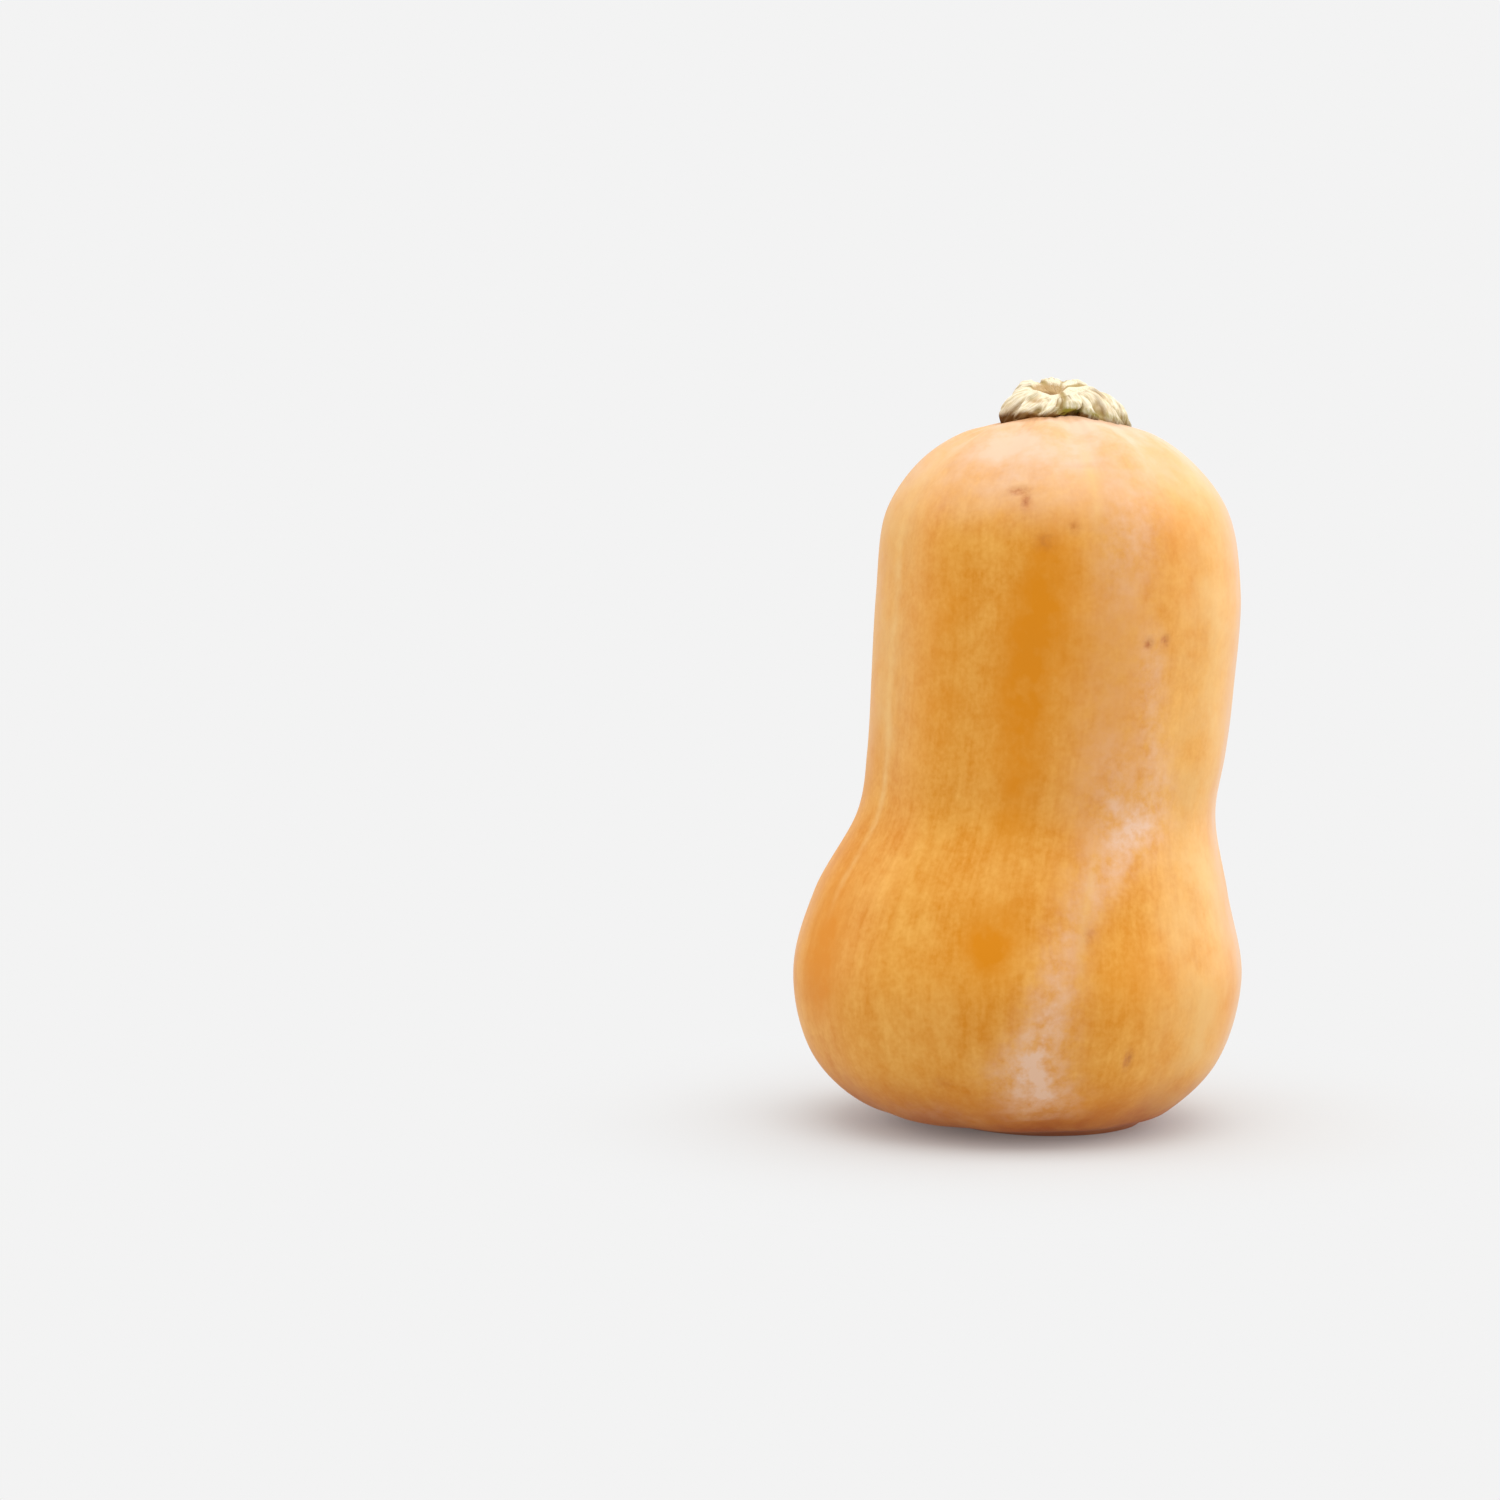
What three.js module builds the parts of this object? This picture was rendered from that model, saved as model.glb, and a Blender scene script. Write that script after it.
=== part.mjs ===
// A butternut squash standing on its blossom end, with its cut corky stem on top.
// Millimetres, +Z up. The origin is on the surface that the squash stands on,
// under the middle of its box. The best side faces -Y, and +X is to its right.
import * as THREE from "three";

// The fruit: the stations of its outline, from the blossom scar up to the stem seat. halfWidth
// is across X, and shift is how far the middle of the section stands to the right.
const outline = {
  scar: { halfWidth: 0, shift: 1.5, height: 2 },
  scarEdge: { halfWidth: 4.5, shift: 1.5, height: 1.8 },
  scarGroove: { halfWidth: 7, shift: 1.5, height: 3.2 },
  dimple: { halfWidth: 12.2, shift: 1.5, height: 2.2 },
  foot: { halfWidth: 19.5, shift: 1.4, height: -0.9 },
  sole: { halfWidth: 29, shift: -2.6, height: 1.8 },
  heel: { halfWidth: 39.8, shift: -7.1, height: 4.9 },
  lowerBulb: { halfWidth: 52.5, shift: -8.3, height: 17 },
  bulb: { halfWidth: 58.2, shift: -8.1, height: 38 },
  upperBulb: { halfWidth: 53.6, shift: -7.2, height: 60 },
  waist: { halfWidth: 46.3, shift: -3.3, height: 81 },
  neckFoot: { halfWidth: 46.3, shift: -0.9, height: 96 },
  lowerNeck: { halfWidth: 46.8, shift: 0.6, height: 113 },
  neck: { halfWidth: 47, shift: 1.8, height: 137 },
  shoulder: { halfWidth: 43.8, shift: 1.4, height: 158.5 },
  brow: { halfWidth: 34.6, shift: 1, height: 171.3 },
  crownEdge: { halfWidth: 24.5, shift: 1, height: 178.6 },
  crown: { halfWidth: 15.5, shift: 1, height: 181.8 },
  seat: { halfWidth: 8, shift: 1, height: 182.2 },
  seatMiddle: { halfWidth: 0, shift: 1, height: 182 },
};
const depthShare = 0.985; // how deep the fruit is, front to back, for its width
const backSway = { reach: 1.8, height: 182 }; // its middle leans back this far, half way up

// The ribs that run from the stem to the blossom end, broad on top with narrow furrows.
const ribs = {
  count: 10,
  turn: THREE.MathUtils.degToRad(-11), // where one of the furrows runs
  furrowSharpness: 3,
  byStem: 0.6,
  onFlank: 0.32,
  byBlossom: 0.3,
  unevenness: 0.2, // how much stronger they are on one side than on average
};
const stemPleats = { inner: 15, full: 25, outer: 43 }; // radii between which the ribs crowd
const footRibs = { inner: 20, outer: 50 }; // radii between which they fade out below

// Round the stem the shoulder stands a little higher in front and behind than at the sides.
const crownSaddle = { rise: 1.1, full: 15, outer: 38 };

// The side that the fruit lay on while it grew is a little flat.
const groundSide = {
  angle: THREE.MathUtils.degToRad(165),
  height: 52,
  acrossAngle: THREE.MathUtils.degToRad(38),
  alongHeight: 34,
  depth: 1.6,
};

// The stem: a squat stub whose uneven ridges run out into feet on the fruit. Its stations give
// the radius on a ridge and in a hollow, at a share of the way from the foot to the cut.
const stemStations = {
  foot: { ridge: 16.9, hollow: 13.4, share: 0 },
  lip: { ridge: 17, hollow: 11.6, share: 0.16 },
  ankle: { ridge: 16, hollow: 9.4, share: 0.4 },
  shin: { ridge: 13.9, hollow: 8.2, share: 0.68 },
  rim: { ridge: 11.4, hollow: 7.4, share: 0.9 },
  cut: { ridge: 8.4, hollow: 6.2, share: 1 },
};
// Each ridge stands at its degrees on the foot and turns by its twist on the way up.
const ridges = [
  { degrees: -86, twist: 10, strength: 1, width: 24 },
  { degrees: -54, twist: 10, strength: 0.94, width: 20 },
  { degrees: -26, twist: 10, strength: 0.88, width: 17 },
  { degrees: -21, twist: 48, strength: 0.9, width: 14 },
  { degrees: 22, twist: 16, strength: 0.8, width: 8 },
  { degrees: 56, twist: 4, strength: 0.9, width: 17 },
  { degrees: 92, twist: -8, strength: 1, width: 20 },
  { degrees: 136, twist: 6, strength: 0.9, width: 20 },
  { degrees: 183, twist: 4, strength: 0.96, width: 22 },
  { degrees: -129, twist: 8, strength: 0.92, width: 20 },
];
const stem = {
  shift: 3.5, // of its foot to the right of the fruit's axis
  topShift: -2.1, // how far its cut end leans to the left
  seatGap: 0.3, // what keeps it clear of the fruit
  cutHeight: 190.5, // of the cut's middle
  cutTilt: { right: -0.02, back: 0.29 }, // the cut climbs this much for each millimetre
  cutSag: 0.35, // how much lower its rim is between two ridges
};
// What has dried out of the cut: a dish beside its middle, and a notch in the rim in front of it.
const dish = { right: -2.3, back: 0.3, radius: 5, depth: 1.7 };
const notch = { degrees: -20, width: 26, depth: 1.2 };

const rowsPerStation = 3;
const fruitColumns = 80;
const stemColumns = 60;
const cutRows = [0.93, 0.84, 0.7, 0.5, 0.25, 0]; // shares of the cut's radius
const undersideRows = [0, 0.28, 0.52, 0.74, 0.9]; // shares of the foot's radius

const { lerp, smoothstep } = THREE.MathUtils;

// A closed skin from rings of points: each ring is a function from an angle to a point, and the
// first and last rings are single points. Angle 0 faces -Y and a quarter turn is +X.
function closedSkin(columns, rings) {
  const profile = rings.map((_, row) => {
    const isPole = row === 0 || row === rings.length - 1;
    return new THREE.Vector2(isPole ? 0 : 1, row);
  });
  const geometry = new THREE.LatheGeometry(profile, columns);
  const position = geometry.getAttribute("position");
  for (let column = 0; column <= columns; column++) {
    const angle = ((column % columns) / columns) * 2 * Math.PI;
    rings.forEach((ring, row) => {
      const point = ring(angle);
      position.setXYZ(column * rings.length + row, point.x, point.y, point.z);
    });
  }
  geometry.computeVertexNormals();
  return geometry;
}

function smoothCurve(points) {
  return new THREE.CatmullRomCurve3(points.map((point) => new THREE.Vector3(...point)));
}

function placesAlong(curve) {
  const count = (curve.points.length - 1) * rowsPerStation;
  return Array.from({ length: count + 1 }, (_, i) => i / count);
}

const outlineCurve = smoothCurve(
  Object.values(outline).map(({ halfWidth, shift, height }) => [halfWidth, shift, height]),
);

// A place on the fruit's outline, with the direction that its skin faces there.
function sectionAt(place) {
  const at = outlineCurve.getPoint(place);
  const along = outlineCurve.getTangent(place);
  const length = Math.hypot(along.x, along.z);
  return {
    halfWidth: Math.max(at.x, 0),
    shift: at.y,
    height: at.z,
    outward: along.z / length,
    upward: -along.x / length,
  };
}

function ribRelief(angle, { halfWidth, height }) {
  const acrossRibs = Math.abs(Math.sin((ribs.count / 2) * (angle - ribs.turn)));
  const wave = 1 - 2 * acrossRibs ** ribs.furrowSharpness;
  const strength = 1 + ribs.unevenness * Math.cos(2 * angle + 1);
  const isUpperHalf = height > outline.lowerNeck.height;
  if (!isUpperHalf) {
    return smoothstep(halfWidth, footRibs.inner, footRibs.outer) * ribs.byBlossom * wave * strength;
  }
  const crowding = smoothstep(halfWidth, stemPleats.full, stemPleats.outer);
  const fromStem = smoothstep(halfWidth, stemPleats.inner, stemPleats.full);
  return fromStem * lerp(ribs.byStem, ribs.onFlank, crowding) * wave * strength;
}

function groundFlat(angle, { halfWidth, height }) {
  const turn = Math.atan2(Math.sin(angle - groundSide.angle), Math.cos(angle - groundSide.angle));
  const across = turn / groundSide.acrossAngle;
  const along = (height - groundSide.height) / groundSide.alongHeight;
  const fromFoot = smoothstep(halfWidth, footRibs.inner, footRibs.outer);
  return -groundSide.depth * fromFoot * Math.exp(-(across ** 2) - along ** 2);
}

function saddle(angle, { halfWidth, height }) {
  if (height < outline.shoulder.height) return 0;
  const inward = 1 - smoothstep(halfWidth, crownSaddle.full, crownSaddle.outer);
  const outward = smoothstep(halfWidth, 0, crownSaddle.full);
  return crownSaddle.rise * inward * outward * Math.cos(2 * angle);
}

function reliefAt(angle, section) {
  return ribRelief(angle, section) + groundFlat(angle, section) + saddle(angle, section);
}

const leanAt = (height) => backSway.reach * Math.sin((Math.PI * Math.max(height, 0)) / backSway.height);

function fruitPoint(angle, section) {
  const relief = reliefAt(angle, section);
  const reach = section.halfWidth + relief * section.outward;
  return new THREE.Vector3(
    section.shift + reach * Math.sin(angle),
    leanAt(section.height) - depthShare * reach * Math.cos(angle),
    Math.max(section.height + relief * section.upward, 0), // its weight has pressed the foot flat
  );
}

function makeFruit() {
  const rings = placesAlong(outlineCurve).map((place) => {
    const section = sectionAt(place);
    return (angle) => fruitPoint(angle, section);
  });
  const rind = new THREE.MeshStandardMaterial({ color: "#e3a04c", roughness: 0.42, metalness: 0 });
  const mesh = new THREE.Mesh(closedSkin(fruitColumns, rings), rind);
  mesh.name = "fruit";
  return mesh;
}

// The height of the fruit's top, near the stem, at a point seen from above.
const seatY = leanAt(outline.seatMiddle.height);

function fruitTop(x, y) {
  const right = x - outline.seatMiddle.shift;
  const front = (seatY - y) / depthShare;
  const radius = Math.hypot(right, front);
  const stationCount = outlineCurve.points.length;
  let below = (stationCount - 4) / (stationCount - 1); // at the crown's edge
  let above = 1;
  for (let i = 0; i < 30; i++) {
    const between = (below + above) / 2;
    if (outlineCurve.getPoint(between).x > radius) below = between;
    else above = between;
  }
  const section = sectionAt(below);
  return section.height + reliefAt(Math.atan2(right, front), section);
}

// How close an angle is to the one given in degrees: 1 at it, and 0 a few widths away.
function closeness(angle, degrees, width) {
  const turn = THREE.MathUtils.radToDeg(angle) - degrees;
  const away = THREE.MathUtils.euclideanModulo(turn + 180, 360) - 180;
  return Math.exp(-((away / width) ** 2));
}

// How strongly an angle lies on a ridge: 1 on the crest of the largest, 0 between two.
function ridgeAt(angle, share) {
  const sizes = ridges.map(({ degrees, twist, strength, width }) => {
    return strength * closeness(angle, degrees + twist * share, width);
  });
  return Math.max(...sizes);
}

const stemCurve = smoothCurve(
  Object.values(stemStations).map(({ ridge, hollow, share }) => [ridge, hollow, share]),
);

// A point on the stem's side, or on its cut where inward is under 1.
function stemPoint(angle, place, inward = 1) {
  const at = stemCurve.getPoint(place);
  const radius = lerp(at.y, at.x, ridgeAt(angle, at.z)) * inward;
  const x = stem.shift + stem.topShift * at.z + radius * Math.sin(angle);
  const y = seatY - radius * Math.cos(angle);
  const top = stem.cutHeight + stem.cutTilt.right * (x - stem.shift) + stem.cutTilt.back * (y - seatY);
  const dishX = stem.shift + stem.topShift + dish.right;
  const fromDish = Math.hypot(x - dishX, y - seatY - dish.back) / dish.radius;
  const dried = dish.depth * (1 - smoothstep(fromDish, 0.3, 0.95)) * smoothstep(1 - inward, 0, 0.12);
  const notched = notch.depth * closeness(angle, notch.degrees, notch.width);
  const sag = stem.cutSag * (1 - ridgeAt(angle, at.z)) + notched;
  const bottom = place < 1 ? fruitTop(x, y) + stem.seatGap : 0;
  return new THREE.Vector3(x, y, lerp(bottom, top - dried - sag * at.z * inward, Math.min(at.z, 1)));
}

function stemUnderside(angle, share) {
  const { hollow, ridge } = stemStations.foot;
  const radius = share * lerp(hollow, ridge, ridgeAt(angle, 0));
  const x = stem.shift + radius * Math.sin(angle);
  const y = seatY - radius * Math.cos(angle);
  return new THREE.Vector3(x, y, fruitTop(x, y) + stem.seatGap);
}

function makeStem() {
  const rings = [
    ...undersideRows.map((share) => (angle) => stemUnderside(angle, share)),
    ...placesAlong(stemCurve).map((place) => (angle) => stemPoint(angle, place)),
    ...cutRows.map((inward) => (angle) => stemPoint(angle, 1, inward)),
  ];
  const cork = new THREE.MeshStandardMaterial({ color: "#b9a878", roughness: 0.85, metalness: 0 });
  const mesh = new THREE.Mesh(closedSkin(stemColumns, rings), cork);
  mesh.name = "stem";
  return mesh;
}

const squash = new THREE.Group();
squash.add(makeFruit(), makeStem());

// The origin goes under the middle of the box.
const middle = new THREE.Box3().setFromObject(squash).getCenter(new THREE.Vector3());
squash.children.forEach((piece) => piece.position.set(-middle.x, -middle.y, 0));

export default squash;
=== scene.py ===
import math

import bpy
import numpy as np
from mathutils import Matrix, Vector


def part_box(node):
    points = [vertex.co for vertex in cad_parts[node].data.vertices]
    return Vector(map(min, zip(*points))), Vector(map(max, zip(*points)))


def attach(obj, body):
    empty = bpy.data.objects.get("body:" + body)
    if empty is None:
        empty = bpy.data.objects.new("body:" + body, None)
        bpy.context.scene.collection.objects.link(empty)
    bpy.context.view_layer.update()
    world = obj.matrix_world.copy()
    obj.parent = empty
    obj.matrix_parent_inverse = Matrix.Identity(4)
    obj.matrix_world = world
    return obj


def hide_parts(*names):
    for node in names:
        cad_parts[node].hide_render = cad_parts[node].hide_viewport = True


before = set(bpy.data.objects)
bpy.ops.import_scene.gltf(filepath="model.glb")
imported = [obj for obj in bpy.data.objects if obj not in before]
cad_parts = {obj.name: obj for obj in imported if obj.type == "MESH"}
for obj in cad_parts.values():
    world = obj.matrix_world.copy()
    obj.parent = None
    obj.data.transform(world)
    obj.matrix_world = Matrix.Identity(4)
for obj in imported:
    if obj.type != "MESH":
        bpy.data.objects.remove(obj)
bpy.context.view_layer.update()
print("frame loaded:", ", ".join(sorted(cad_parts)))

mm = 0.001
fullTurn = 2 * math.pi
photoWidth = 1500  # pixels across the reference picture


def smoothstep(value, low, high):
    share = np.clip((value - low) / (high - low), 0, 1)
    return share * share * (3 - 2 * share)


def plateau(value, start, full, ebb, end):
    # 0 up to start, 1 from full to ebb, and 0 again from end on
    return smoothstep(value, start, full) * (1 - smoothstep(value, ebb, end))


def bell(away):
    return np.exp(-(away**2))


def wrapped(turn):
    # the same angle, between half a turn back and half a turn on
    return np.arctan2(np.sin(turn), np.cos(turn))


def smoothLine(stations, stepsPerSpan=60):
    # centripetal Catmull-Rom through the stations, its ends carried straight on
    points = np.array(stations, float)
    points = np.vstack([2 * points[0] - points[1], points, 2 * points[-1] - points[-2]])
    knots = np.sqrt(np.linalg.norm(np.diff(points, axis=0), axis=1))
    share = np.linspace(0, 1, stepsPerSpan, endpoint=False)[:, None]
    spans = []
    for i in range(1, len(points) - 2):
        before, start, end, after = points[i - 1:i + 3]
        gapBefore, gap, gapAfter = knots[i - 1:i + 2]
        steepness = (end - start) / gap
        leave = (start - before) / gapBefore - (end - before) / (gapBefore + gap) + steepness
        arrive = steepness - (after - start) / (gap + gapAfter) + (after - end) / gapAfter
        leave, arrive = leave * gap, arrive * gap
        bend = 3 * (end - start) - 2 * leave - arrive
        twist = 2 * (start - end) + leave + arrive
        spans.append(start + leave * share + bend * share**2 + twist * share**3)
    return np.vstack(spans + [points[-2]])


def evenRows(line, count, across=(0, 2)):
    # the line again, in rows the same distance apart, and how far along it each row is
    steps = np.linalg.norm(np.diff(line[:, across], axis=0), axis=1)
    along = np.insert(np.cumsum(steps), 0, 0)
    at = np.linspace(0, along[-1], count)
    return np.column_stack([np.interp(at, along, column) for column in line.T]), at


def lumps(points, size, seed, waveCount=24):
    # smooth unevenness, mostly between -1 and 1, from waves a little over and under the given size
    draw = np.random.default_rng(seed)
    direction = draw.normal(size=(waveCount, 3))
    direction /= np.linalg.norm(direction, axis=1)[:, None]
    turns = direction * (math.pi / size) * draw.uniform(0.6, 1.4, waveCount)[:, None]
    phase = draw.uniform(0, fullTurn, waveCount)
    flat = points.reshape(-1, 3) @ turns.T + phase
    return (np.cos(flat).sum(1) / math.sqrt(waveCount)).reshape(points.shape[:-1])


def stackOf(*parts):
    return np.stack(np.broadcast_arrays(*parts), axis=-1)


def normalsOf(points):
    alongRows = np.gradient(points, axis=0)
    alongColumns = np.roll(points, -1, axis=1) - np.roll(points, 1, axis=1)
    normals = np.cross(alongColumns, alongRows)
    return normals / np.maximum(np.linalg.norm(normals, axis=2), 1e-9)[..., None]


def skinOfRings(name, points, values):
    # points[row, column] in metres make a closed skin; its first and last rows are one point each
    rowCount, columnCount = points.shape[:2]
    body = points[1:-1].reshape(-1, 3)
    vertices = np.vstack([points[0, :1], body, points[-1, :1]])
    here = np.arange(columnCount)
    beside = np.roll(here, -1)
    faces = [(0, 1 + b, 1 + a) for a, b in zip(here, beside)]
    for row in range(rowCount - 3):
        low, high = 1 + row * columnCount, 1 + (row + 1) * columnCount
        faces += [(low + a, low + b, high + b, high + a) for a, b in zip(here, beside)]
    last = len(vertices) - 1
    top = 1 + (rowCount - 3) * columnCount
    faces += [(top + a, top + b, last) for a, b in zip(here, beside)]
    mesh = bpy.data.meshes.new(name)
    mesh.from_pydata(vertices.tolist(), [], faces)
    for valueName, value in values.items():
        value = np.broadcast_to(value, (rowCount, columnCount, *value.shape[2:])).astype(float)
        flat = np.concatenate([value[0, :1], value[1:-1].reshape(-1, *value.shape[2:]), value[-1, :1]])
        isVector = flat.ndim == 2
        layer = mesh.attributes.new(valueName, "FLOAT_VECTOR" if isVector else "FLOAT", "POINT")
        layer.data.foreach_set("vector" if isVector else "value", flat.ravel())
    mesh.polygons.foreach_set("use_smooth", [True] * len(mesh.polygons))
    mesh.update()
    thing = bpy.data.objects.new(name, mesh)
    bpy.context.collection.objects.link(thing)
    return thing


# the fruit, from the same stations and formulas as its solid, in millimetres

fruit = {
    "outline": [  # half width, shift to the right, height
        (0, 1.5, 2),
        (4.5, 1.5, 1.8),
        (7, 1.5, 3.2),
        (12.2, 1.5, 2.2),
        (19.5, 1.4, -0.9),
        (29, -2.6, 1.8),
        (39.8, -7.1, 4.9),
        (52.5, -8.3, 17),
        (58.2, -8.1, 38),
        (53.6, -7.2, 60),
        (46.3, -3.3, 81),
        (46.3, -0.9, 96),
        (46.8, 0.6, 113),
        (47, 1.8, 137),
        (43.8, 1.4, 158.5),
        (34.6, 1, 171.3),
        (24.5, 1, 178.6),
        (15.5, 1, 181.8),
        (8, 1, 182.2),
        (0, 1, 182),
    ],
    "rows": 256,
    "columns": 384,
    "depthShare": 0.985,
    "sway": 1.8,
    "swayHeight": 182,
    "middleHeight": 113,
    "shoulderHeight": 158.5,
    "ribCount": 10,
    "ribTurn": math.radians(-11),
    "furrowSharpness": 3,
    "ribsByStem": 0.6,
    "ribsOnFlank": 0.32,
    "ribsByBlossom": 0.3,
    "ribUnevenness": 0.2,
    "stemPleats": (15, 25, 43),
    "footRibs": (20, 50),
    "saddle": {"rise": 1.1, "full": 15, "outer": 38},
    "groundSide": {
        "angle": math.radians(165),
        "height": 52,
        "acrossAngle": math.radians(38),
        "alongHeight": 34,
        "depth": 1.6,
    },
    "lumps": {"size": 34, "rise": 0.16, "seed": 4, "waveCount": 24},
    "ripples": {"size": 9, "rise": 0.035, "seed": 9, "waveCount": 60},
    "evenEnds": (12, 34),  # half widths between which the lumps and ripples grow
    "crownWrinkles": {"count": 46, "depth": 0.12, "radii": (12, 17, 40), "seed": 2},
    "blossomPuckers": {"count": 22, "depth": 0.22, "radii": (3, 6, 15), "seed": 5},
    "nicks": [  # degrees, height, half size across and along, depth
        (-17.5, 164.4, 2.2, 0.9, 0.3),
        (-14.9, 162, 0.9, 2, 0.25),
        (25.9, 23.9, 0.9, 2.1, 0.4),
        (24.2, 126.9, 1.1, 1.1, 0.3),
        (30.1, 127.6, 1, 1.2, 0.25),
        (148, 70, 1.2, 3.2, 0.4),
        (-122, 118, 1.1, 1.4, 0.35),
        (-128, 115, 1.2, 1.2, 0.3),
        (103, 146, 2.6, 1, 0.3),
    ],
    "nickRim": {"rise": 0.2, "at": 1.8, "width": 0.6},  # share of the depth, then half sizes
}


def fruitRelief(angle, halfWidth, height):
    # how far the skin stands out from its outline
    acrossRibs = np.abs(np.sin(fruit["ribCount"] / 2 * (angle - fruit["ribTurn"])))
    wave = 1 - 2 * acrossRibs ** fruit["furrowSharpness"]
    strength = 1 + fruit["ribUnevenness"] * np.cos(2 * angle + 1)
    inner, full, outer = fruit["stemPleats"]
    crowding = smoothstep(halfWidth, full, outer)
    above = fruit["ribsByStem"] + (fruit["ribsOnFlank"] - fruit["ribsByStem"]) * crowding
    above = above * smoothstep(halfWidth, inner, full)
    fromFoot = smoothstep(halfWidth, *fruit["footRibs"])
    below = fruit["ribsByBlossom"] * fromFoot
    isUpper = height > fruit["middleHeight"]
    ribs = np.where(isUpper, above, below) * wave * strength

    flat = fruit["groundSide"]
    across = wrapped(angle - flat["angle"]) / flat["acrossAngle"]
    up = (height - flat["height"]) / flat["alongHeight"]
    ground = -flat["depth"] * fromFoot * bell(across) * bell(up)

    saddle = fruit["saddle"]
    ring = plateau(halfWidth, 0, saddle["full"], saddle["full"], saddle["outer"])
    ring = np.where(height < fruit["shoulderHeight"], 0, ring)
    return ribs + ground + saddle["rise"] * ring * np.cos(2 * angle)


def leanAt(height):
    return fruit["sway"] * np.sin(math.pi * np.maximum(height, 0) / fruit["swayHeight"])


outline = smoothLine(fruit["outline"])
rows, along = evenRows(outline, fruit["rows"])
rows[:, 0] = np.maximum(rows[:, 0], 0)
slope = np.gradient(rows, axis=0)
slopeLength = np.hypot(slope[:, 0], slope[:, 2])
outward = (slope[:, 2] / slopeLength)[:, None]
upward = (-slope[:, 0] / slopeLength)[:, None]
halfWidth, shift, height = (column[:, None] for column in rows.T)
along = along[:, None]
angle = np.linspace(0, fullTurn, fruit["columns"], endpoint=False)[None, :]
footRow = int(np.argmin(height))
isTop = height > fruit["middleHeight"]
isFlank = along >= along[footRow]


def fruitPoints(relief):
    reach = halfWidth + relief * outward
    return np.stack([
        shift + reach * np.sin(angle),
        leanAt(height) - fruit["depthShare"] * reach * np.cos(angle),
        np.maximum(height + relief * upward, 0),
    ], axis=-1)


def awayFrom(degrees, placeHeight, across, lengthways):
    # how far each point of the skin is from a place on the flank, counted in half sizes
    at = np.interp(placeHeight, height[footRow:, 0], along[footRow:, 0])
    sideways = wrapped(angle - math.radians(degrees)) * halfWidth / across
    return np.hypot(sideways, (along - at) / lengthways)


def unevenness(size, rise, seed, waveCount):
    return rise * lumps(plain, size, seed, waveCount) * smoothstep(halfWidth, *fruit["evenEnds"])


def wrinkles(count, depth, radii, seed, isHere):
    # fine pleats that run towards an end of the fruit and wander a little
    inner, full, outer = radii
    ring = plateau(halfWidth, inner, full, full, outer) * isHere
    wander = 0.5 * np.sin(3 * angle + seed) + 0.35 * np.sin(7 * angle + 2 * seed)
    strength = 0.6 + 0.4 * np.sin(5 * angle + seed)
    return depth * ring * strength * np.cos(count * angle + wander * 3)


relief = fruitRelief(angle, halfWidth, height)
plain = fruitPoints(relief)
fine = unevenness(**fruit["lumps"]) + unevenness(**fruit["ripples"])
fine = fine + wrinkles(**fruit["crownWrinkles"], isHere=isTop)
fine = fine + wrinkles(**fruit["blossomPuckers"], isHere=~isTop)
nickRim = fruit["nickRim"]
for degrees, nickHeight, across, lengthways, depth in fruit["nicks"]:
    away = awayFrom(degrees, nickHeight, across, lengthways)
    rim = nickRim["rise"] * bell((away - nickRim["at"]) / nickRim["width"])
    fine = fine + depth * (rim - bell(away))
fruitSkin = fruitPoints(relief + fine)

# the fine skin's box is set on the solid's
low, high = (np.array(corner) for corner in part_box("fruit"))
growthLow, growthHigh = fruitSkin.min((0, 1)), fruitSkin.max((0, 1))
fit = (high - low) / (growthHigh - growthLow)


def intoRow(points):
    return low + (points - growthLow) * fit


# where the rind is tinted: bands that run up the fruit, and patches on it

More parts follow.
